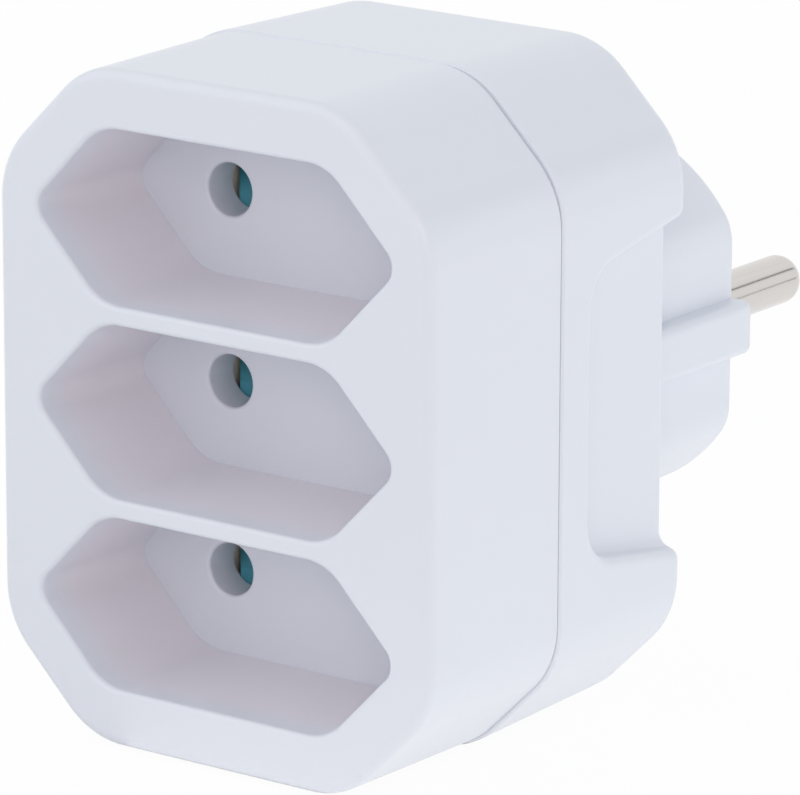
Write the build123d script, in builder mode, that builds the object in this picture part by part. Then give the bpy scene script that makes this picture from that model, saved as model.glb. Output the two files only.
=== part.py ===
"""Three-way flat-plug adapter with a round contour plug at its back.

+X is to the right of someone who faces the wells, +Y runs from the wells back to the plug pins, +Z is up.
The origin is on the ground under the middle of the whole depth, from the front face to the pin tips.
"""
import os
from math import radians, sqrt, tan

from build123d import *

# Body: two mouldings that meet at a seam and taper away from it
BODY_WIDTH = 49.0
BODY_HEIGHT = 63.5
CORNER_CUT = 9.6
CORNER_RADIUS = 8.8
FRONT_DEPTH = 19.25
REAR_DEPTH = 20.8
FRONT_DRAFT = 0.55
REAR_DRAFT = 1.3
WALL = 2.0
FRONT_EDGE = 1.1
REAR_EDGE = 1.9
SEAM_GAP = 0.1
SEAM_STEP = 0.1
CORNER_STEP = 0.35
SEAM_EDGE = 0.2
TONGUE = 1.5
TONGUE_PLAY = 0.1
TONGUE_STEP = 0.15

# Wells for the flat plugs, one above the other
SOCKET_PITCH = 18.0
WELL_WIDTH = 41.0
WELL_HEIGHT = 16.2
WELL_FLAT = 25.4
WELL_DEPTH = 15.0
WELL_DRAFT = 0.4
WELL_TIP_RADIUS = 2.0
WELL_CORNER_RADIUS = 5.2
WELL_WALL = 1.4
WELL_FLOOR = 2.0
RIM_RADIUS = 0.5

# Pins of the flat plug and the holes that take them
PIN_SPACING = 19.0
HOLE_RADIUS = 2.5
HOLE_LENGTH = 3.7
HOLE_RIM = 0.35
COLLAR_WALL = 1.5
FLAT_PLUG_PIN_RADIUS = 2.0
FLAT_PLUG_PIN_LENGTH = 19.0

# Contour plug and its pins
PLUG_RADIUS = 18.2
PLUG_FLAT = 15.6
PLUG_CORNER_RADIUS = 5.0
PLUG_LENGTH = 20.3
PLUG_EDGE = 0.5
PLUG_WALL = 2.2
RIB_PROUD = 2.2
RIB_HEIGHT = 5.2
RIB_FOOT_RADIUS = 1.2
RIB_EDGE_RADIUS = 0.9
NOTCH_WIDTH = 8.0
NOTCH_FLOOR = 7.2
NOTCH_RADIUS = 2.5
PIN_RADIUS = 2.4
PIN_LENGTH = 18.7
PIN_NOSE = 1.9
PIN_SHANK_RADIUS = 2.7
PIN_PLAY = 0.05
PIN_BOSS_WALL = 2.0
PIN_FLANGE_RADIUS = 3.5
PIN_FLANGE = 1.2
RIVET_RADIUS = 1.5
RIVET_HEAD_RADIUS = 2.0
RIVET_HEAD = 0.8

# Finger recess on each side, open to the back
GRIP_FRONT = 24.2
GRIP_DEPTH = 2.5
GRIP_HEIGHT_FRONT = 26.4
GRIP_HEIGHT_BACK = 31.8
GRIP_CORNER_RADIUS = 4.5
GRIP_BLEND = 1.3
GRIP_EDGE = 1.0

# Safety shutters: a bar across both holes, pushed down by two ramps
SHUTTER_HALF_LENGTH = 12.3
SHUTTER_END_CUT = 1.0
SHUTTER_END_SLOPE = 1.35
SHUTTER_HEIGHT = 5.8
SHUTTER_THICKNESS = 3.2
SHUTTER_PLAY = 0.15
RAMP_INNER = 6.4
RAMP_FOOT = -1.1
RAMP_CREST = 0.4
HUB_HALF_WIDTH = 2.65
HUB_FRONT_ROOM = 0.4
SPRING_POCKET_ROOF = 0.9
STOP_PLAY = 0.1
PASS_ROOM = 0.1
GUIDE_RIB = 1.0
SHELF = 0.7
SHELF_ROOM = 0.3
SHELF_WALL_ROOM = 2.85

# Coil springs under the shutters
SPRING_RADIUS = 1.3
SPRING_WIRE_RADIUS = 0.2
SPRING_TURNS = 5
SPRING_PLAY = 0.2
SPRING_END_ROOM = 0.03
SPRING_PEG_HEIGHT = 1.2

# Contact strips with folded leaves, and the carrier in front of them
STRIP = 0.8
STRIP_END = 3.5
LEAF = 0.5
LEAF_HEIGHT = 5.0
LEAF_PINCH = 0.15
LEAF_BEND_RADIUS = 1.0
LEAF_HEAD_ROOM = 0.1
LEAF_SHUTTER_ROOM = 0.4
FLARE = 2.2
FLARE_BACK = 1.6
FLARE_FRONT = 0.7
TIP_ROOM = 0.6
CARRIER = 1.6
CARRIER_ROOM = 0.8
CARRIER_MARGIN = 0.5
CARRIER_CUT = 9.0
WINDOW_ROOM = 0.35
BARRIER = 1.2
CARRIER_POST_RADIUS = 2.0
POST_RADIUS = 2.7
POST_ROOM = 0.35
PEG_RADIUS = 1.2
PEG_PLAY = 0.1
PEG_PROUD = 1.0

# Places along the depth, counted from the front face
BODY_DEPTH = FRONT_DEPTH + REAR_DEPTH
PLUG_FACE = BODY_DEPTH + PLUG_LENGTH
TOTAL_DEPTH = PLUG_FACE + PIN_LENGTH
FLOOR_BACK = WELL_DEPTH + WELL_FLOOR
HOLE_END = WELL_DEPTH + HOLE_LENGTH
SHUTTER_FRONT = HOLE_END + SHUTTER_PLAY
SHUTTER_BACK = SHUTTER_FRONT + SHUTTER_THICKNESS
HUB_FRONT = FLOOR_BACK + HUB_FRONT_ROOM
CARRIER_FRONT = SHUTTER_BACK + SHUTTER_PLAY
CARRIER_BACK = CARRIER_FRONT + CARRIER
STRIP_FRONT = WELL_DEPTH + FLAT_PLUG_PIN_LENGTH + TIP_ROOM + RIVET_HEAD
STRIP_BACK = STRIP_FRONT + STRIP
BOSS_SEAT = STRIP_BACK + PIN_FLANGE
REAR_WALL = BODY_DEPTH - WALL
SEAM_FRONT = FRONT_DEPTH - SEAM_GAP / 2
SEAM_REAR = FRONT_DEPTH + SEAM_GAP / 2

# Places across and up
FRONT_Y = -TOTAL_DEPTH / 2
MID_Z = BODY_HEIGHT / 2 + SEAM_STEP
PIN_X = PIN_SPACING / 2
STRIP_WIDTH = 2 * (RIVET_HEAD_RADIUS + LEAF_HEAD_ROOM + LEAF_BEND_RADIUS + LEAF / 2)
GRIP_FLOOR_X = BODY_WIDTH / 2 + SEAM_STEP - REAR_DEPTH * tan(radians(REAR_DRAFT)) - GRIP_DEPTH
CARRIER_HALF_WIDTH = GRIP_FLOOR_X - WALL - CARRIER_ROOM
POST_X = GRIP_FLOOR_X - WALL - POST_ROOM - POST_RADIUS
SHUTTER_TOP = SHUTTER_HEIGHT / 2
SHUTTER_TRAVEL = SHUTTER_TOP + FLAT_PLUG_PIN_RADIUS + PASS_ROOM
SHELF_TOP = SOCKET_PITCH - BODY_HEIGHT / 2 + WALL + SHELF_WALL_ROOM + SHELF
HUB_FOOT = SHELF_TOP + SHELF_ROOM + SHUTTER_TRAVEL
CARRIER_HALF_HEIGHT = SOCKET_PITCH - SHELF_TOP + SHELF + CARRIER_MARGIN
POCKET_ROOF = SHUTTER_TOP - SPRING_POCKET_ROOF
POCKET_RADIUS = SPRING_RADIUS + SPRING_WIRE_RADIUS + SPRING_PLAY
SPRING_DEPTH = (HUB_FRONT + SHUTTER_BACK) / 2
SPRING_PEG_RADIUS = SPRING_RADIUS - SPRING_WIRE_RADIUS - SPRING_PLAY
RIB_X = HUB_HALF_WIDTH + SHUTTER_PLAY + GUIDE_RIB / 2

SOCKET_Z = {"top": SOCKET_PITCH, "middle": 0.0, "bottom": -SOCKET_PITCH}
SIDES = {"left": -1, "right": 1}
HOLES = [(side * PIN_X, z) for side in SIDES.values() for z in SOCKET_Z.values()]
POSTS = [(side * POST_X, end * SOCKET_PITCH / 2) for side in SIDES.values() for end in (-1, 1)]


def looking_forward(depth):
    """Plane across the body at a depth, with its normal towards the wells."""
    return Plane(origin=(0, FRONT_Y + depth, MID_Z), x_dir=(1, 0, 0), z_dir=(0, -1, 0))


def looking_back(depth):
    """Plane across the body at a depth, with its normal towards the plug."""
    return Plane(origin=(0, FRONT_Y + depth, MID_Z), x_dir=(-1, 0, 0), z_dir=(0, 1, 0))


def side_plane(x):
    """Plane along the body's side: depth runs to the right, height runs up."""
    return Plane(origin=(x, FRONT_Y, MID_Z), x_dir=(0, 1, 0), z_dir=(1, 0, 0))


def level_plane(x, z):
    """Level plane over a point of the cross-section: its y axis is the depth."""
    return Plane(origin=(x, FRONT_Y, MID_Z + z), x_dir=(1, 0, 0), z_dir=(0, 0, 1))


def body_outline(plane, inset, extra_cut=0):
    """The body's rectangle with cut corners at the seam, drawn a distance inside it."""
    with BuildSketch(plane) as outline:
        Rectangle(BODY_WIDTH - 2 * inset, BODY_HEIGHT - 2 * inset)
        chamfer(outline.vertices(), CORNER_CUT + extra_cut - inset * (2 - sqrt(2)))
    return outline.sketch


def round_outline(plane, inset):
    """The same outline with its corners rounded."""
    with BuildSketch(plane) as outline:
        add(body_outline(Plane.XY, inset))
        fillet(outline.vertices(), CORNER_RADIUS - inset)
    return outline.sketch


def body_block(plane, inset, depth, angle, extra_cut=0):
    """A block that tapers away from the seam, with its eight long edges rounded."""
    with BuildPart() as block:
        extrude(body_outline(plane, inset, extra_cut), amount=depth)
        draft([face for face in block.faces() if abs(face.normal_at().Y) < 0.5], plane, angle)
        long_edges = [edge for edge in block.edges() if edge.bounding_box().size.Y > depth / 2]
        fillet(long_edges, CORNER_RADIUS - inset)
    return block.part


def ring(plane, outer_inset, inner_inset):
    """A closed band between two outlines of the body."""
    with BuildSketch(plane) as band:
        add(round_outline(Plane.XY, outer_inset))
        add(round_outline(Plane.XY, inner_inset), mode=Mode.SUBTRACT)
    return band.sketch


def hexagon(plane, z):
    """The stretched hexagon of one well."""
    half_width = WELL_WIDTH / 2
    half_flat = WELL_FLAT / 2
    top = z + WELL_HEIGHT / 2
    foot = z - WELL_HEIGHT / 2
    with BuildSketch(plane) as outline:
        with BuildLine():
            Polyline(
                (half_width, z),
                (half_flat, top),
                (-half_flat, top),
                (-half_width, z),
                (-half_flat, foot),
                (half_flat, foot),
                close=True,
            )
        make_face()
    return outline.sketch


def well_block(z):
    """The space inside one well: it narrows a little to its floor, and its corners are rounded."""
    with BuildPart() as block:
        extrude(hexagon(looking_back(0), z), amount=WELL_DEPTH)
        draft([face for face in block.faces() if abs(face.normal_at().Y) < 0.5], looking_back(0), WELL_DRAFT)
        long_edges = [edge for edge in block.edges() if edge.bounding_box().size.Y > WELL_DEPTH / 2]
        corner_edges = [edge for edge in long_edges if abs(edge.center().Z - MID_Z - z) > WELL_HEIGHT / 4]
        fillet(corner_edges, WELL_CORNER_RADIUS)
        long_edges = [edge for edge in block.edges() if edge.bounding_box().size.Y > WELL_DEPTH / 2]
        tip_edges = [edge for edge in long_edges if abs(edge.center().Z - MID_Z - z) < WELL_HEIGHT / 8]
        fillet(tip_edges, WELL_TIP_RADIUS)
    return block.part


def well_walls(plane):
    """The outside of the three wells, which run into each other."""
    with BuildSketch(plane) as walls:
        for z in SOCKET_Z.values():
            offset(hexagon(Plane.XY, z), amount=WELL_WALL, mode=Mode.ADD)
    return walls.sketch


def discs(plane, places, radius):
    """A round face at each place."""
    with BuildSketch(plane) as faces:
        with Locations(*places):
            Circle(radius)
    return faces.sketch


def bars(plane, places, width, height):
    """A rectangular face at each place."""
    with BuildSketch(plane) as faces:
        with Locations(*places):
            Rectangle(width, height)
    return faces.sketch


def grip_outline(plane, front, back, grow):
    """Side view of a finger recess: it widens to the back and its front corners are round."""
    flare = (GRIP_HEIGHT_BACK - GRIP_HEIGHT_FRONT) / 2 / (BODY_DEPTH - GRIP_FRONT)
    half_front = GRIP_HEIGHT_FRONT / 2 + flare * (front - GRIP_FRONT) + grow
    half_back = GRIP_HEIGHT_FRONT / 2 + flare * (back - GRIP_FRONT) + grow
    with BuildSketch(plane) as outline:
        with BuildLine():
            Polyline(
                (front, -half_front),
                (front, half_front),
                (back, half_back),
                (back, -half_back),
                close=True,
            )
        make_face()
        fillet(outline.vertices().sort_by(Axis.X)[:2], GRIP_CORNER_RADIUS + grow)
    return outline.sketch


def lies_on(edge, faces):
    """Whether an edge runs along any of these faces."""
    points = [edge @ part_way for part_way in (0.1, 0.5, 0.9)]
    return all(min(face.distance_to(point) for face in faces) < 0.001 for point in points)


def plug_section(plane):
    """Round plug face with two flats, a rib on each flat and a notch above and below."""
    with BuildSketch(plane) as section:
        Circle(PLUG_RADIUS)
        Rectangle(2 * PLUG_FLAT, 2 * PLUG_RADIUS, mode=Mode.INTERSECT)
        fillet(section.vertices(), PLUG_CORNER_RADIUS)
        Rectangle(2 * (PLUG_FLAT + RIB_PROUD), RIB_HEIGHT)
        rib_corners = [v for v in section.vertices() if abs(v.Y) < RIB_HEIGHT / 2 + 0.01]
        edge_corners = [v for v in rib_corners if abs(v.X) > PLUG_FLAT + RIB_PROUD / 2]
        foot_corners = [v for v in rib_corners if abs(v.X) <= PLUG_FLAT + RIB_PROUD / 2]
        fillet(edge_corners, RIB_EDGE_RADIUS)
        fillet(foot_corners, RIB_FOOT_RADIUS)
        for end in (-1, 1):
            with Locations((0, end * (NOTCH_FLOOR + PLUG_RADIUS))):
                RectangleRounded(NOTCH_WIDTH, 2 * PLUG_RADIUS, NOTCH_RADIUS, mode=Mode.SUBTRACT)
    return section.sketch


def plug_core(plane):
    """The hollow inside the plug: it leaves a wall all round and a boss about each pin."""
    with BuildSketch(plane) as core:
        Circle(PLUG_RADIUS - PLUG_WALL)
        Rectangle(2 * (PLUG_FLAT - PLUG_WALL), 2 * PLUG_RADIUS, mode=Mode.INTERSECT)
        for end in (-1, 1):
            with Locations((0, end * (NOTCH_FLOOR - PLUG_WALL + PLUG_RADIUS))):
                notch_wall = NOTCH_WIDTH + 2 * PLUG_WALL
                RectangleRounded(notch_wall, 2 * PLUG_RADIUS, NOTCH_RADIUS, mode=Mode.SUBTRACT)
        with Locations((-PIN_X, 0), (PIN_X, 0)):
            Circle(PIN_SHANK_RADIUS + PIN_BOSS_WALL, mode=Mode.SUBTRACT)
    return core.sketch


def write_piece(builder, name):
    """Labels a finished piece and writes it as its own file."""
    builder.part.label = name
    export_step(builder.part, f"parts/{name}.step")
    print(f"{name}: {len(builder.part.solids())} solid, {builder.part.volume:.1f} mm3")


os.makedirs("parts", exist_ok=True)

# Front cover: a tapered shell that carries the wells, with the shutter guides behind their floors
front_block = body_block(looking_forward(SEAM_FRONT), 0, SEAM_FRONT, FRONT_DRAFT, CORNER_STEP)
front_hollow = body_block(looking_forward(SEAM_FRONT), WALL, SEAM_FRONT - WALL, FRONT_DRAFT)
well_blocks = [well_block(z) for z in SOCKET_Z.values()]
with BuildPart() as front_cover:
    add(front_block)
    fillet(front_cover.faces().sort_by(Axis.Y)[0].edges(), FRONT_EDGE)
    chamfer(front_cover.faces().sort_by(Axis.Y)[-1].edges(), SEAM_EDGE)
    add(front_hollow, mode=Mode.SUBTRACT)
    extrude(well_walls(looking_back(WALL / 2)), amount=FLOOR_BACK - WALL / 2)
    extrude(discs(looking_back(WALL / 2), POSTS, POST_RADIUS), amount=CARRIER_FRONT - WALL / 2)
    add(well_blocks, mode=Mode.SUBTRACT)
    fillet(front_cover.faces().sort_by(Axis.Y)[0].inner_wires().edges(), RIM_RADIUS)
    extrude(discs(looking_back(FLOOR_BACK), HOLES, HOLE_RADIUS + COLLAR_WALL), amount=HOLE_END - FLOOR_BACK)
    extrude(discs(looking_back(WELL_DEPTH), HOLES, HOLE_RADIUS), amount=HOLE_LENGTH, mode=Mode.SUBTRACT)
    rounds = front_cover.edges().filter_by(GeomType.CIRCLE)
    fillet([edge for edge in rounds if abs(edge.center().Y - FRONT_Y - WELL_DEPTH) < 0.001], HOLE_RIM)
    rib_top = SHUTTER_TOP + STOP_PLAY + SHELF
    rib_foot = SHELF_TOP - SHELF
    rib_places = [(side * RIB_X, z + (rib_top + rib_foot) / 2) for side in (-1, 1) for z in SOCKET_Z.values()]
    rib_faces = bars(looking_back(FLOOR_BACK), rib_places, GUIDE_RIB, rib_top - rib_foot)
    extrude(rib_faces, amount=HOLE_END - FLOOR_BACK)
    extrude(discs(looking_back(CARRIER_FRONT), POSTS, PEG_RADIUS), amount=CARRIER + PEG_PROUD)
    tongue = ring(looking_back(SEAM_FRONT), WALL / 2 + TONGUE_PLAY, WALL - TONGUE_STEP)
    extrude(tongue, amount=TONGUE + SEAM_GAP / 2)
write_piece(front_cover, "front_cover")

# Cutters for the finger recesses, with a soft edge round each floor
with BuildPart() as grip_cutter:
    recess = grip_outline(side_plane(GRIP_FLOOR_X), GRIP_FRONT, BODY_DEPTH + WALL, 0)
    extrude(recess, amount=GRIP_DEPTH + WALL)
    floor_edges = grip_cutter.faces().sort_by(Axis.X)[0].edges().sort_by(Axis.Y)[:-1]
    fillet(floor_edges, GRIP_BLEND)
    mirror(about=Plane.YZ)

# Blocks inside the rear cover that keep a full wall behind each recess
with BuildPart() as grip_backing:
    backing = grip_outline(side_plane(GRIP_FLOOR_X - WALL), GRIP_FRONT - WALL, REAR_WALL, WALL)
    extrude(backing, amount=GRIP_DEPTH + WALL / 2)
    mirror(about=Plane.YZ)

# Rear cover: tapered shell with the finger recesses and the contour plug
rear_block = body_block(looking_back(SEAM_REAR), -SEAM_STEP, BODY_DEPTH - SEAM_REAR, REAR_DRAFT)
rear_hollow = body_block(looking_back(SEAM_REAR), WALL, REAR_WALL - SEAM_REAR, REAR_DRAFT)
with BuildPart() as rear_cover:
    add(rear_block)
    fillet(rear_cover.faces().sort_by(Axis.Y)[-1].edges(), REAR_EDGE)
    chamfer(rear_cover.faces().sort_by(Axis.Y)[0].edges(), SEAM_EDGE)
    skin = rear_cover.faces()
    add(rear_hollow, mode=Mode.SUBTRACT)
    groove = round_outline(looking_back(SEAM_REAR), WALL / 2)
    extrude(groove, amount=TONGUE - SEAM_GAP / 2, mode=Mode.SUBTRACT)
    add(grip_backing.part)
    add(grip_cutter.part, mode=Mode.SUBTRACT)
    side_edges = [edge for edge in rear_cover.edges() if abs(edge.center().X) > GRIP_FLOOR_X - GRIP_EDGE]
    rim = [edge for edge in side_edges if lies_on(edge, grip_cutter.faces()) and lies_on(edge, skin)]
    fillet(rim, GRIP_EDGE)
    extrude(plug_section(looking_back(BODY_DEPTH - WALL / 2)), amount=PLUG_LENGTH + WALL / 2)
    fillet(rear_cover.faces().sort_by(Axis.Y)[-1].edges(), PLUG_EDGE)
    extrude(plug_core(looking_back(REAR_WALL)), amount=PLUG_FACE - PLUG_WALL - REAR_WALL, mode=Mode.SUBTRACT)
    pin_places = [(side * PIN_X, 0) for side in SIDES.values()]
    boss_faces = discs(looking_back(BOSS_SEAT), pin_places, PIN_SHANK_RADIUS + PIN_BOSS_WALL)
    extrude(boss_faces, amount=REAR_WALL + WALL - BOSS_SEAT)
    pin_bores = discs(looking_back(BOSS_SEAT), pin_places, PIN_SHANK_RADIUS + PIN_PLAY)
    extrude(pin_bores, amount=PLUG_FACE - BOSS_SEAT, mode=Mode.SUBTRACT)
    rest_places = [(side * PIN_X, end * SOCKET_PITCH) for side in SIDES.values() for end in (-1, 1)]
    rest_faces = bars(looking_back(STRIP_BACK), rest_places, STRIP_WIDTH, LEAF_HEIGHT)
    extrude(rest_faces, amount=REAR_WALL - STRIP_BACK)
write_piece(rear_cover, "rear_cover")

# Plug pins: turned from rod, with a flange that seats on the boss and a peened end that holds the strip
for side_name, side in SIDES.items():
    profile_plane = level_plane(side * PIN_X, 0)
    with BuildPart() as plug_pin:
        with BuildSketch(profile_plane) as profile:
            with BuildLine():
                Polyline(
                    (0, STRIP_FRONT - RIVET_HEAD),
                    (RIVET_HEAD_RADIUS, STRIP_FRONT - RIVET_HEAD),
                    (RIVET_HEAD_RADIUS, STRIP_FRONT),
                    (RIVET_RADIUS, STRIP_FRONT),
                    (RIVET_RADIUS, STRIP_BACK),
                    (PIN_FLANGE_RADIUS, STRIP_BACK),
                    (PIN_FLANGE_RADIUS, BOSS_SEAT),
                    (PIN_SHANK_RADIUS, BOSS_SEAT),
                    (PIN_SHANK_RADIUS, PLUG_FACE),
                    (PIN_RADIUS, PLUG_FACE),
                    (PIN_RADIUS, TOTAL_DEPTH),
                    (0, TOTAL_DEPTH),
                    close=True,
                )
            make_face()
            fillet(profile.vertices().group_by(Axis.Y)[-1].sort_by(Axis.X)[-1], PIN_NOSE)
        revolve(axis=Axis(profile_plane.origin, (0, 1, 0)))
    write_piece(plug_pin, f"plug_pin_{side_name}")

# Contact strips: a flat bar with a folded pair of leaves for each socket; the outer leaf reaches the hole
pinch = FLAT_PLUG_PIN_RADIUS - LEAF_PINCH + LEAF / 2
root = STRIP_WIDTH / 2 - LEAF / 2
leaf_line = STRIP_FRONT + LEAF / 2
neck_depth = CARRIER_BACK + (STRIP_FRONT - CARRIER_BACK) * 0.4
mouth = SHUTTER_HALF_LENGTH - PIN_X + LEAF_SHUTTER_ROOM + LEAF / 2
flare_tip = mouth + FLARE
for side_name, side in SIDES.items():
    with BuildPart() as contact_strip:
        bar_length = 2 * (SOCKET_PITCH + STRIP_END)
        extrude(bars(looking_back(STRIP_FRONT), [(-side * PIN_X, 0)], STRIP_WIDTH, bar_length), amount=STRIP)
        for z in SOCKET_Z.values():
            for lean in (-1, 1):
                foot = [(root - 1.5 * LEAF_BEND_RADIUS, leaf_line), (root, leaf_line)]
                bends = foot + [(pinch, neck_depth), (mouth, CARRIER_FRONT)]
                if lean == side:
                    bends.append((mouth, SHUTTER_FRONT + FLARE_BACK))
                    bends.append((flare_tip, SHUTTER_FRONT + FLARE_FRONT))
                path = [(lean * across, depth) for across, depth in bends]
                with BuildSketch(level_plane(side * PIN_X, z)):
                    with BuildLine():
                        FilletPolyline(*path, radius=LEAF_BEND_RADIUS)
                    trace(line_width=LEAF)
                extrude(amount=LEAF_HEIGHT / 2, both=True)
        extrude(
            discs(looking_back(STRIP_FRONT), [(-side * PIN_X, 0)], RIVET_RADIUS + PIN_PLAY),
            amount=STRIP,
            mode=Mode.SUBTRACT,
        )
    write_piece(contact_strip, f"contact_strip_{side_name}")

# Carrier: a plate on the front cover's pegs, with windows for the leaves, spring shelves, stops and a barrier
with BuildPart() as contact_carrier:
    with BuildSketch(looking_back(CARRIER_FRONT)) as plate:
        Rectangle(2 * CARRIER_HALF_WIDTH, 2 * CARRIER_HALF_HEIGHT)
        chamfer(plate.vertices(), CARRIER_CUT)
    extrude(amount=CARRIER)
    window_inner = PIN_X - mouth - LEAF / 2 - WINDOW_ROOM
    window_outer = PIN_X + flare_tip + LEAF / 2 + WINDOW_ROOM
    window_x = (window_inner + window_outer) / 2
    window_places = [(side * window_x, z) for side in SIDES.values() for z in SOCKET_Z.values()]
    window_width = window_outer - window_inner
    windows = bars(looking_back(CARRIER_FRONT), window_places, window_width, LEAF_HEIGHT + 2 * WINDOW_ROOM)
    extrude(windows, amount=CARRIER, mode=Mode.SUBTRACT)
    peg_holes = discs(looking_back(CARRIER_FRONT), POSTS, PEG_RADIUS + PEG_PLAY)
    extrude(peg_holes, amount=CARRIER, mode=Mode.SUBTRACT)
    shelf_places = [(0, z + SHELF_TOP - SHELF / 2) for z in SOCKET_Z.values()]
    stop_places = [(0, z + SHUTTER_TOP + STOP_PLAY + SHELF / 2) for z in SOCKET_Z.values()]
    shelf_faces = bars(looking_back(HUB_FRONT), shelf_places + stop_places, 2 * HUB_HALF_WIDTH, SHELF)
    extrude(shelf_faces, amount=CARRIER_FRONT - HUB_FRONT)
    for z in SOCKET_Z.values():
        with BuildSketch(level_plane(0, z + SHELF_TOP)):
            with Locations((0, SPRING_DEPTH)):
                Circle(SPRING_PEG_RADIUS)
        extrude(amount=SPRING_PEG_HEIGHT)
    barrier = bars(looking_back(CARRIER_BACK), [(0, 0)], BARRIER, 2 * CARRIER_HALF_HEIGHT)
    extrude(barrier, amount=STRIP_BACK - CARRIER_BACK)
    post_places = [(side * PIN_X, end * SOCKET_PITCH / 2) for side in SIDES.values() for end in (-1, 1)]
    post_faces = discs(looking_back(CARRIER_BACK), post_places, CARRIER_POST_RADIUS)
    extrude(post_faces, amount=STRIP_FRONT - CARRIER_BACK)
write_piece(contact_carrier, "contact_carrier")

# Shutters: an arm with a ramp behind each hole, and a hub between them that runs in the guide ribs
for name, z in SOCKET_Z.items():
    with BuildPart() as shutter:
        for side in SIDES.values():
            with BuildSketch(level_plane(0, z)):
                with BuildLine():
                    Polyline(
                        (side * HUB_HALF_WIDTH, SHUTTER_BACK),
                        (side * SHUTTER_HALF_LENGTH, SHUTTER_BACK),
                        (side * SHUTTER_HALF_LENGTH, SHUTTER_FRONT + SHUTTER_END_SLOPE),
                        (side * (SHUTTER_HALF_LENGTH - SHUTTER_END_CUT), SHUTTER_FRONT),
                        (side * HUB_HALF_WIDTH, SHUTTER_FRONT),
                        close=True,
                    )
                make_face()
            extrude(amount=SHUTTER_TOP, both=True)
        with BuildSketch(level_plane(0, z + HUB_FOOT)):
            with Locations((0, (HUB_FRONT + SHUTTER_BACK) / 2)):
                Rectangle(2 * HUB_HALF_WIDTH, SHUTTER_BACK - HUB_FRONT)
        extrude(amount=SHUTTER_TOP - HUB_FOOT)
        for side in SIDES.values():
            with BuildSketch(side_plane(side * RAMP_INNER)):
                with BuildLine():
                    Polyline(
                        (SHUTTER_FRONT, z + RAMP_FOOT),
                        (SHUTTER_BACK - RAMP_CREST, z + SHUTTER_TOP),
                        (SHUTTER_FRONT, z + SHUTTER_TOP),
                        close=True,
                    )
                make_face()
            extrude(amount=side * (SHUTTER_HALF_LENGTH - RAMP_INNER), mode=Mode.SUBTRACT)
        with BuildSketch(level_plane(0, z - SHUTTER_TOP)):
            with Locations((0, SPRING_DEPTH)):
                Circle(POCKET_RADIUS)
        extrude(amount=POCKET_ROOF + SHUTTER_TOP, mode=Mode.SUBTRACT)
    write_piece(shutter, f"shutter_{name}")

# Springs: from the carrier's shelf to the roof of the shutter's pocket
for name, z in SOCKET_Z.items():
    wire_room = SPRING_WIRE_RADIUS + SPRING_END_ROOM
    spring_height = POCKET_ROOF - SHELF_TOP - 2 * wire_room
    spring_foot = (0, FRONT_Y + SPRING_DEPTH, MID_Z + z + SHELF_TOP + wire_room)
    with BuildPart() as shutter_spring:
        with BuildLine() as coil:
            Helix(
                pitch=spring_height / SPRING_TURNS,
                height=spring_height,
                radius=SPRING_RADIUS,
                center=spring_foot,
            )
        with BuildSketch(Plane(origin=coil.line @ 0, z_dir=coil.line % 0)):
            RegularPolygon(SPRING_WIRE_RADIUS, 4)
        sweep(is_frenet=True)
    write_piece(shutter_spring, f"shutter_spring_{name}")
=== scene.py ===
# %% [markdown]
# # A white three-way adapter, dressed for a studio shot
# The solids of the adapter come from CAD and are already the right shape and size.
# Blender's work is the finish of each piece, the coil springs, the light and the camera.

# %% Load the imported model
from math import cos, pi, radians, sin

import bpy
from mathutils import Matrix, Vector


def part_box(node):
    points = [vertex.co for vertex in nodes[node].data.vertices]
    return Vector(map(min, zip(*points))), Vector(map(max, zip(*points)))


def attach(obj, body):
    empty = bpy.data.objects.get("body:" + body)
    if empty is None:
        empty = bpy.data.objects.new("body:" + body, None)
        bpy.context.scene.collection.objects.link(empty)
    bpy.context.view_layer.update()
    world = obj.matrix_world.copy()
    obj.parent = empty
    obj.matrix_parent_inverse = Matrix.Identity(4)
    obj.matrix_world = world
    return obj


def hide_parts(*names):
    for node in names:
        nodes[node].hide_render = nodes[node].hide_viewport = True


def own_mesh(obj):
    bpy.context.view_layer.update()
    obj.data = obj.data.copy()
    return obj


MM = 0.001

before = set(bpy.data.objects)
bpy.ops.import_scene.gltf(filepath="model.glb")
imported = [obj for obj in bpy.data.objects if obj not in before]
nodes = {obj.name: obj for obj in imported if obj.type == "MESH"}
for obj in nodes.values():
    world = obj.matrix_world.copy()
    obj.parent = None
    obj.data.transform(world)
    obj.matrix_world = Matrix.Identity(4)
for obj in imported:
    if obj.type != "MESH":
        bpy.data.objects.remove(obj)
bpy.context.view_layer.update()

# %% [markdown]
# ## Camera
# A product shot like this one is taken from a distance with a long lens, so the upright edges stay almost parallel.
# The camera could be aimed by eye, but the edges of the wells give its turn and tilt, so it is placed by numbers:
# 36 degrees round to the right of the front, 15 degrees above the level, a little over half a metre away.

# %% Place the camera
turn = radians(36.38)
tilt = radians(15.26)
roll = radians(-0.21)
ahead = Vector((-sin(turn) * cos(tilt), cos(turn) * cos(tilt), -sin(tilt)))
level_right = Vector((cos(turn), sin(turn), 0))
level_up = level_right.cross(ahead)
right = level_right * cos(roll) - level_up * sin(roll)
up = level_up * cos(roll) + level_right * sin(roll)
camera_place = Vector((334.68, -465.43, 182.91)) * MM

photo_width_px = 800
focal_px = 6329
camera_data = bpy.data.cameras.new("studio_camera")
camera_data.sensor_fit = "HORIZONTAL"
camera_data.sensor_width = 36
camera_data.lens = focal_px / photo_width_px * camera_data.sensor_width
camera = bpy.data.objects.new("studio_camera", camera_data)
camera_turn = Matrix((right, up, -ahead)).transposed().to_4x4()
camera.matrix_world = Matrix.Translation(camera_place) @ camera_turn
bpy.context.scene.collection.objects.link(camera)
bpy.context.scene.camera = camera
print("lens:", round(camera_data.lens, 1), "mm")

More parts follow.
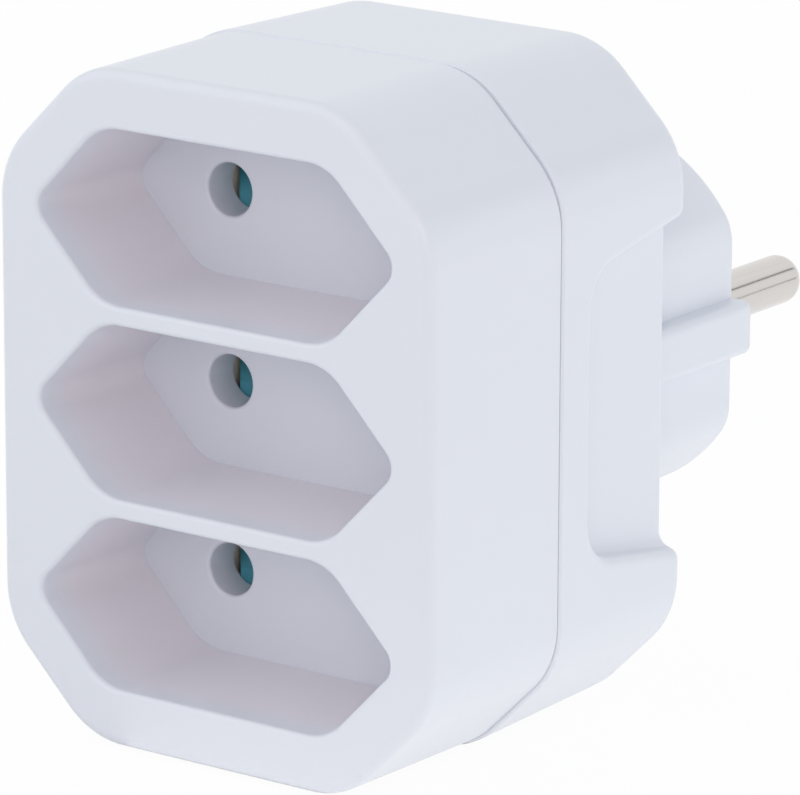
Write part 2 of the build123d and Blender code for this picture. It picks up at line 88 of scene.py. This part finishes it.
# %% [markdown]
# ## Shader sums in plain Python
# A finish is easier to read as a formula than as a list of links.
# This small class holds one output of a shader node. Python's own signs then add the Math nodes,
# and every other kind of node comes from the one method `node`.

# %% A socket that can do sums
# A Mix node has sockets of one name for numbers, vectors and colours, so the colour sockets go by their number.
MIX_FIRST, MIX_SECOND, MIX_RESULT = 6, 7, 2


class Shade:
    """One output of a shader node in a material."""

    def __init__(self, tree, socket=None):
        self.tree = tree
        self.socket = socket

    def node(self, kind, settings=None, inputs=None, output=0):
        """Adds a node, sets its settings, then fills or links its sockets."""
        made = self.tree.nodes.new(kind)
        for name, value in (settings or {}).items():
            setattr(made, name, value)
        for name, value in (inputs or {}).items():
            self.join(value, made.inputs[name])
        return Shade(self.tree, made.outputs[output])

    def join(self, value, socket):
        """Links a shade to a socket, or sets the socket to a plain value."""
        if isinstance(value, Shade):
            self.tree.links.new(value.socket, socket)
        else:
            socket.default_value = value

    def sum_with(self, operation, first, second):
        """A Math node on two values."""
        return self.node("ShaderNodeMath", {"operation": operation}, {0: first, 1: second})

    def __add__(self, other):
        return self.sum_with("ADD", self, other)

    __radd__ = __add__

    def __sub__(self, other):
        return self.sum_with("SUBTRACT", self, other)

    def __rsub__(self, other):
        return self.sum_with("SUBTRACT", other, self)

    def __mul__(self, other):
        return self.sum_with("MULTIPLY", self, other)

    __rmul__ = __mul__

    def __abs__(self):
        return self.sum_with("ABSOLUTE", self, 0)


def noise(place, scale, detail, roughness=0.5):
    """Soft random blotches, about one over the scale wide."""
    inputs = {"Vector": place, "Scale": scale, "Detail": detail, "Roughness": roughness}
    return place.node("ShaderNodeTexNoise", inputs=inputs)


def between(factor, first, second):
    """A colour that goes from the first to the second as the factor goes from 0 to 1."""
    inputs = {"Factor": factor, MIX_FIRST: first, MIX_SECOND: second}
    return factor.node("ShaderNodeMix", {"data_type": "RGBA"}, inputs, output=MIX_RESULT)


def new_finish(name):
    """A material with its own node tree, and the sockets of its surface."""
    material = bpy.data.materials.new(name)
    material.use_nodes = True
    surface = material.node_tree.nodes["Principled BSDF"]
    return material, Shade(material.node_tree), surface.inputs


def dress(material, *names):
    """Gives CAD nodes a finish."""
    for name in names:
        nodes[name].data.materials.clear()
        nodes[name].data.materials.append(material)
    print(material.name, "on", ", ".join(names))


# %% [markdown]
# ## White satin plastic
# Both covers are moulded in the same cool white. A polished mould would leave mirror gloss. This one was fine-blasted,
# so highlights spread softly and a grain about a fifth of a millimetre wide can be felt more than seen.
# A second, very broad noise varies the white by about one percent, as the flow of the melt does.
# The walls of the wells look warmer than the rest of the case, probably because light soaks through them.
# Scattering under the surface would show that too, but it also makes the outer rims glow, so that light is
# painted on instead: a painted glow, a warmer white on the walls. Soft limits find them: behind the front face,
# in front of the floors and inside the wells' outline.


# %% White plastic
def along(place, axis):
    """One coordinate of a place."""
    return place.node("ShaderNodeSeparateXYZ", inputs={"Vector": place}, output=axis)


def fade(value, whole, gone):
    """A soft step from one at the first value to nothing at the second."""
    settings = {"interpolation_type": "SMOOTHSTEP"}
    inputs = {"Value": value, "From Min": whole, "From Max": gone, "To Min": 1, "To Max": 0}
    return value.node("ShaderNodeMapRange", settings, inputs)


white_plastic, shade, surface = new_finish("white_plastic")
place = shade.node("ShaderNodeTexCoord", output="Object")
grain = noise(place, scale=5000, detail=2)
flow = noise(place, scale=45, detail=3)
case_white = between(flow, (0.765, 0.794, 0.86, 1), (0.785, 0.814, 0.87, 1))
# Painted glow: a warmer white that stands in for light soaking through the well walls.
painted_glow_white = (0.835, 0.8, 0.85, 1)

case_low, case_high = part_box("front_cover")
from_front = along(place, "Y") - case_low[1]
aside = abs(along(place, "X"))
above = abs(along(place, "Z") - (case_low[2] + case_high[2]) / 2)
# Where the painted glow goes: only on the walls of the wells, faded out at their edges.
painted_glow_walls = 1 - fade(from_front, 0.3 * MM, 5 * MM)
for distance, whole_mm, gone_mm in (
    (from_front, 14.7, 15),  # the floors of the wells
    (aside, 21, 22),  # the left and right sides of the case
    (above, 27, 29),  # its top and underside
    (aside + above, 40, 42),  # its corner cuts
):
    painted_glow_walls = painted_glow_walls * fade(distance, whole_mm * MM, gone_mm * MM)

shade.join(between(painted_glow_walls, case_white, painted_glow_white), surface["Base Color"])
shade.join(0.26 + 0.06 * flow + 0.05 * grain, surface["Roughness"])
relief = shade.node("ShaderNodeBump", inputs={"Strength": 0.12, "Distance": 0.05 * MM, "Height": grain})
shade.join(relief, surface["Normal"])
surface["IOR"].default_value = 1.5
dress(white_plastic, "front_cover", "rear_cover")

# %% [markdown]
# ## Nickel on the plug pins
# The pins are turned from brass rod and plated. Turning leaves fine rings round the pin, which stretch a highlight
# across it, and the plating dulls a little where the pin has been pushed in and out.

# %% Nickel
nickel, shade, surface = new_finish("nickel")
place = shade.node("ShaderNodeTexCoord", output="Object")
rings = shade.node(
    "ShaderNodeTexWave",
    {"wave_type": "BANDS", "bands_direction": "Y"},
    {"Vector": place, "Scale": 700, "Distortion": 1.5, "Detail": 2},
)
stretch = shade.node("ShaderNodeMapping", inputs={"Vector": place, "Scale": (2600, 60, 2600)})
rub = noise(stretch, scale=1, detail=3, roughness=0.6)
shade.join(between(rub, (0.65, 0.62, 0.595, 1), (0.73, 0.7, 0.68, 1)), surface["Base Color"])
shade.join(0.12 + 0.1 * rub, surface["Roughness"])
relief = shade.node("ShaderNodeBump", inputs={"Strength": 0.06, "Distance": 0.02 * MM, "Height": rings + rub})
shade.join(relief, surface["Normal"])
surface["Metallic"].default_value = 1
dress(nickel, "plug_pin_left", "plug_pin_right")

# %% [markdown]
# ## Teal shutters
# The safety shutters behind the holes are a small teal moulding. They come from a polished tool, so they are glossier
# than the case, and light from the hole picks out their ramp.

# %% Teal plastic
teal_plastic, shade, surface = new_finish("teal_plastic")
place = shade.node("ShaderNodeTexCoord", output="Object")
cloud = noise(place, scale=260, detail=3)
shade.join(between(cloud, (0.075, 0.33, 0.42, 1), (0.105, 0.41, 0.5, 1)), surface["Base Color"])
shade.join(0.24 + 0.1 * cloud, surface["Roughness"])
dress(teal_plastic, "shutter_top", "shutter_middle", "shutter_bottom")

# %% [markdown]
# ## Contact brass
# The contact strips are stamped from pale rolled brass. Rolling leaves fine lines along the strip and a dull, satin
# surface that spreads what little light comes through the holes.

# %% Contact brass
contact_brass, shade, surface = new_finish("contact_brass")
place = shade.node("ShaderNodeTexCoord", output="Object")
stretch = shade.node("ShaderNodeMapping", inputs={"Vector": place, "Scale": (4000, 4000, 90)})
rolled = noise(stretch, scale=1, detail=3, roughness=0.6)
shade.join(between(rolled, (0.92, 0.85, 0.73, 1), (0.97, 0.92, 0.84, 1)), surface["Base Color"])
shade.join(0.56 + 0.12 * rolled, surface["Roughness"])
surface["Metallic"].default_value = 1
dress(contact_brass, "contact_strip_left", "contact_strip_right")

# %% [markdown]
# ## Grey carrier
# The inner carrier is never handled, so it is a plain glass-filled plastic:
# matt, grey and faintly mottled by the fibres.

# %% Grey plastic
grey_plastic, shade, surface = new_finish("grey_plastic")
place = shade.node("ShaderNodeTexCoord", output="Object")
fibre = noise(place, scale=900, detail=4, roughness=0.65)
shade.join(between(fibre, (0.2, 0.21, 0.22, 1), (0.3, 0.31, 0.32, 1)), surface["Base Color"])
shade.join(0.55 + 0.2 * fibre, surface["Roughness"])
relief = shade.node("ShaderNodeBump", inputs={"Strength": 0.2, "Distance": 0.08 * MM, "Height": fibre})
shade.join(relief, surface["Normal"])
dress(grey_plastic, "contact_carrier")

# %% [markdown]
# ## Spring wire
# Each shutter is pushed shut by a small coil spring of drawn steel wire. Drawing polishes the wire and leaves a few
# duller patches, so its shine wanders a little along the coil.

# %% Steel wire
spring_steel, shade, surface = new_finish("spring_steel")
place = shade.node("ShaderNodeTexCoord", output="Object")
drawn = noise(place, scale=2600, detail=3, roughness=0.6)
shade.join(between(drawn, (0.42, 0.43, 0.45, 1), (0.58, 0.58, 0.6, 1)), surface["Base Color"])
shade.join(0.25 + 0.15 * drawn, surface["Roughness"])
surface["Metallic"].default_value = 1

# %% [markdown]
# ## Coil springs
# The CAD coil has a square wire and an even pitch. A real one is round and its first and last turn lie flat, so that
# it stands straight. Curves could draw it, but the Screw modifier is closer to how a spring is wound:
# a circle of wire is carried round an axis and raised at every step. It is wound tight, and then the turns between
# the first and the last are drawn apart.

# %% Wind one spring
WIRE_RADIUS = 0.2 * MM
COIL_RADIUS = 1.3 * MM
TURNS = 6
STEPS_PER_TURN = 32
RING_POINTS = 14
TIGHT_RISE = 2.1 * WIRE_RADIUS
SMOOTH_BELOW = radians(40)
spring_low, spring_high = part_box("shutter_spring_middle")
spring_axis = (Vector(spring_low) + Vector(spring_high)) / 2
wound_height = spring_high[2] - spring_low[2] - 2 * WIRE_RADIUS

bpy.ops.object.select_all(action="DESELECT")
bpy.ops.mesh.primitive_circle_add(
    vertices=RING_POINTS, radius=WIRE_RADIUS, location=(COIL_RADIUS, 0, 0), rotation=(pi / 2, 0, 0)
)
pattern_spring = bpy.context.object
bpy.ops.object.transform_apply(location=True, rotation=True, scale=True)
winding = pattern_spring.modifiers.new("winding", "SCREW")
winding.axis = "Z"
winding.angle = 2 * pi
winding.iterations = TURNS
winding.steps = winding.render_steps = STEPS_PER_TURN
winding.screw_offset = TIGHT_RISE
bpy.ops.object.modifier_apply(modifier="winding")


def eased(part):
    """From 0 to 1 at an even rate, with a soft start and end."""
    soft = 0.12
    if part < soft:
        return part * part / (2 * soft * (1 - soft))
    if part > 1 - soft:
        return 1 - (1 - part) * (1 - part) / (2 * soft * (1 - soft))
    return (part - soft / 2) / (1 - soft)


for point in pattern_spring.data.vertices:
    turns_below = point.index // RING_POINTS / STEPS_PER_TURN
    share = min(max((turns_below - 1) / (TURNS - 2), 0), 1)
    point.co.z += (wound_height - TIGHT_RISE * TURNS) * eased(share)

bpy.ops.object.mode_set(mode="EDIT")
bpy.ops.mesh.select_mode(type="EDGE")
bpy.ops.mesh.select_all(action="DESELECT")
bpy.ops.mesh.select_non_manifold()
bpy.ops.mesh.fill_holes(sides=0)
bpy.ops.mesh.select_all(action="SELECT")
bpy.ops.mesh.normals_make_consistent(inside=False)
bpy.ops.object.mode_set(mode="OBJECT")
bpy.ops.object.shade_smooth_by_angle(angle=SMOOTH_BELOW)

# %% [markdown]
# One spring is wound and copied, and every copy is pushed into its place in the mesh, so that its object stays at the
# origin. It stands on the carrier's shelf.

# %% Place the springs
pattern_spring.data.materials.append(spring_steel)
for level in ("top", "middle", "bottom"):
    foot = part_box(f"shutter_spring_{level}")[0][2]
    bpy.ops.object.select_all(action="DESELECT")
    pattern_spring.select_set(True)
    bpy.context.view_layer.objects.active = pattern_spring
    bpy.ops.object.duplicate(linked=False)
    spring = bpy.context.object
    spring.name = spring.data.name = f"coil_{level}"
    spring.location = (spring_axis.x, spring_axis.y, foot + WIRE_RADIUS)
    bpy.ops.object.transform_apply(location=True, rotation=True, scale=True)
    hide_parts(f"shutter_spring_{level}")
    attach(spring, "adapter")
    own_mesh(spring)
bpy.data.objects.remove(pattern_spring)

# %% [markdown]
# ## Floor and backdrop
# The adapter stands on white paper that runs out past the frame, so the whole background is the floor.
# To the camera, to reflections and to glass the paper is mostly plain white. The rest of it is ordinary paper,
# which keeps a faint shadow and bounces light back up on to the case.


# %% Paper floor
def shown(shade, bright, plain, share):
    """Shows a share of white to the camera, to reflections and to glass, and lights with the plain shader."""
    seen = shade.node("ShaderNodeLightPath", output="Is Camera Ray")
    mirrored = shade.node("ShaderNodeLightPath", output="Is Glossy Ray")
    through = shade.node("ShaderNodeLightPath", output="Is Transmission Ray")
    factor = share * (seen + mirrored + through)
    return shade.node("ShaderNodeMixShader", inputs={"Fac": factor, 1: plain, 2: bright})


PAPER_SIZE = 6
PAPER_WHITE_SHARE = 0.96
bpy.ops.object.select_all(action="DESELECT")
bpy.ops.mesh.primitive_plane_add(size=PAPER_SIZE, location=(0, 0, 0))
floor = bpy.context.object
floor.name = "paper_floor"
paper, shade, surface = new_finish("paper")
surface["Base Color"].default_value = (0.88, 0.88, 0.88, 1)
surface["Roughness"].default_value = 0.9
surface["Specular IOR Level"].default_value = 0.1
paper_nodes = paper.node_tree.nodes
plain = Shade(paper.node_tree, paper_nodes["Principled BSDF"].outputs["BSDF"])
bright = shade.node("ShaderNodeEmission", inputs={"Color": (1, 1, 1, 1), "Strength": 1})
paper_shown = shown(shade, bright, plain, PAPER_WHITE_SHARE)
shade.join(paper_shown, paper_nodes["Material Output"].inputs["Surface"])
floor.data.materials.append(paper)
print("floor:", floor.dimensions[:2])

# %% [markdown]
# ## Light
# White on white needs very even light, or the case clips. A tent alone is too even: it fills the wells and leaves the
# corner cuts as bright as the sides. So the tent is dimmed and soft boxes stand round the table.
# One is high at the front left and slants into the wells, one high at the back lifts the top, and three low strips
# lift the lower wells, the right side and the plug. A faint panel on the table throws light up under the lower corner.
# A small warm lamp by the camera reaches into the pin holes.

# %% Tent and soft boxes
world = bpy.data.worlds.new("tent")
bpy.context.scene.world = world
world.use_nodes = True
shade = Shade(world.node_tree)
dim = world.node_tree.nodes["Background"]
dim.inputs["Color"].default_value = (0.9, 0.945, 1, 1)
dim.inputs["Strength"].default_value = 0.485
plain = Shade(world.node_tree, dim.outputs["Background"])
white = shade.node("ShaderNodeBackground", inputs={"Color": (1, 1, 1, 1), "Strength": 0.95})
shade.join(shown(shade, white, plain, 1), world.node_tree.nodes["World Output"].inputs["Surface"])


def hang_lamp(name, location, toward, size, power, colour, mirrored):
    """A rectangular lamp at a place, facing along a direction. Metal sees it only if it is mirrored."""
    lamp = bpy.data.lights.new(name, "AREA")
    lamp.shape = "RECTANGLE"
    lamp.size, lamp.size_y = size
    lamp.energy = power
    lamp.color = colour
    holder = bpy.data.objects.new(name, lamp)
    holder.location = location
    holder.rotation_euler = toward.to_track_quat("-Z", "Y").to_euler()
    holder.visible_camera = False
    holder.visible_glossy = mirrored
    bpy.context.scene.collection.objects.link(holder)
    print(name, power, "W")


def out_from(round_by, raised):
    """The direction that lies a number of degrees round from the front and up from the table."""
    round_by, raised = radians(round_by), radians(raised)
    return Vector((sin(round_by) * cos(raised), -cos(round_by) * cos(raised), sin(raised)))


WHITE = (1, 1, 1)
WARM = (1, 0.84, 0.79)
CREAM = (1, 0.97, 0.92)
lit_point = Vector((0, -0.01, 0.032))
for name, round_by, raised, away, size, power, colour, mirrored in (
    ("box_front_left", -40, 40, 0.9, (1.2, 1.0), 3.2, WHITE, True),
    ("box_back", -150, 45, 0.9, (1.2, 1.0), 2.75, WHITE, False),
    ("strip_front", 40, 8, 0.9, (0.7, 0.2), 0.38, WHITE, False),
    ("strip_right", 85, 8, 0.9, (0.8, 0.2), 0.66, WHITE, False),
    ("strip_behind", 130, 8, 0.9, (0.8, 0.2), 1.2, WHITE, False),
    ("lamp_by_camera", 36, 20, 0.55, (0.15, 0.15), 0.34, WARM, True),
):
    side = out_from(round_by, raised)
    hang_lamp(name, lit_point + side * away, -side, size, power, colour, mirrored)
hang_lamp(
    "table_panel",
    location=Vector((0.09, 0.04, 0.0006)),
    toward=Vector((0, 0, 1)),
    size=(0.2, 0.2),
    power=0.032,
    colour=CREAM,
    mirrored=False,
)

# %% [markdown]
# ## Dark cards for the metal
# Metal only shows what it mirrors, and in an all-white tent a round pin would look flat. Photographers hang dark cards
# behind the set. Only reflections see these two: one above and behind draws a fine dark line along the pin,
# and a low grey one at the far edge of the table draws a fainter line below it.

# %% Dark cards
CARD_AWAY = 1.2
CARD_LENGTH = 0.6
pin_low, pin_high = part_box("plug_pin_right")
pin_middle = (Vector(pin_low) + Vector(pin_high)) / 2
for name, toward, short, width, grey in (
    ("dark_card", (0.421, 0.777, 0.465), (-0.743, 0, 0.669), 0.09, 0.25),
    ("table_edge", (0.629, 0.777, 0.002), (0, 0, 1), 0.05, 0.35),
):
    toward = Vector(toward).normalized()
    short = Vector(short).normalized()
    bpy.ops.object.select_all(action="DESELECT")
    bpy.ops.mesh.primitive_plane_add(size=1, location=(0, 0, 0))
    card = bpy.context.object
    card.name = name
    card_place = Matrix.Translation(pin_middle + toward * CARD_AWAY)
    card_turn = Matrix((short, toward.cross(short), toward)).transposed().to_4x4()
    card.matrix_world = card_place @ card_turn @ Matrix.Diagonal((width, CARD_LENGTH, 1, 1))
    dark, shade, surface = new_finish(name)
    surface["Base Color"].default_value = (grey, grey, grey, 1)
    surface["Roughness"].default_value = 1
    card.data.materials.append(dark)
    card.visible_camera = card.visible_diffuse = card.visible_shadow = card.visible_transmission = False
    print(name, "at", [round(value, 2) for value in card.location])

# %% [markdown]
# ## Colour view
# The frame shows its colours plainly, with Blender's Standard view transform.

# %% View transform
scene = bpy.context.scene
scene.view_settings.view_transform = "Standard"
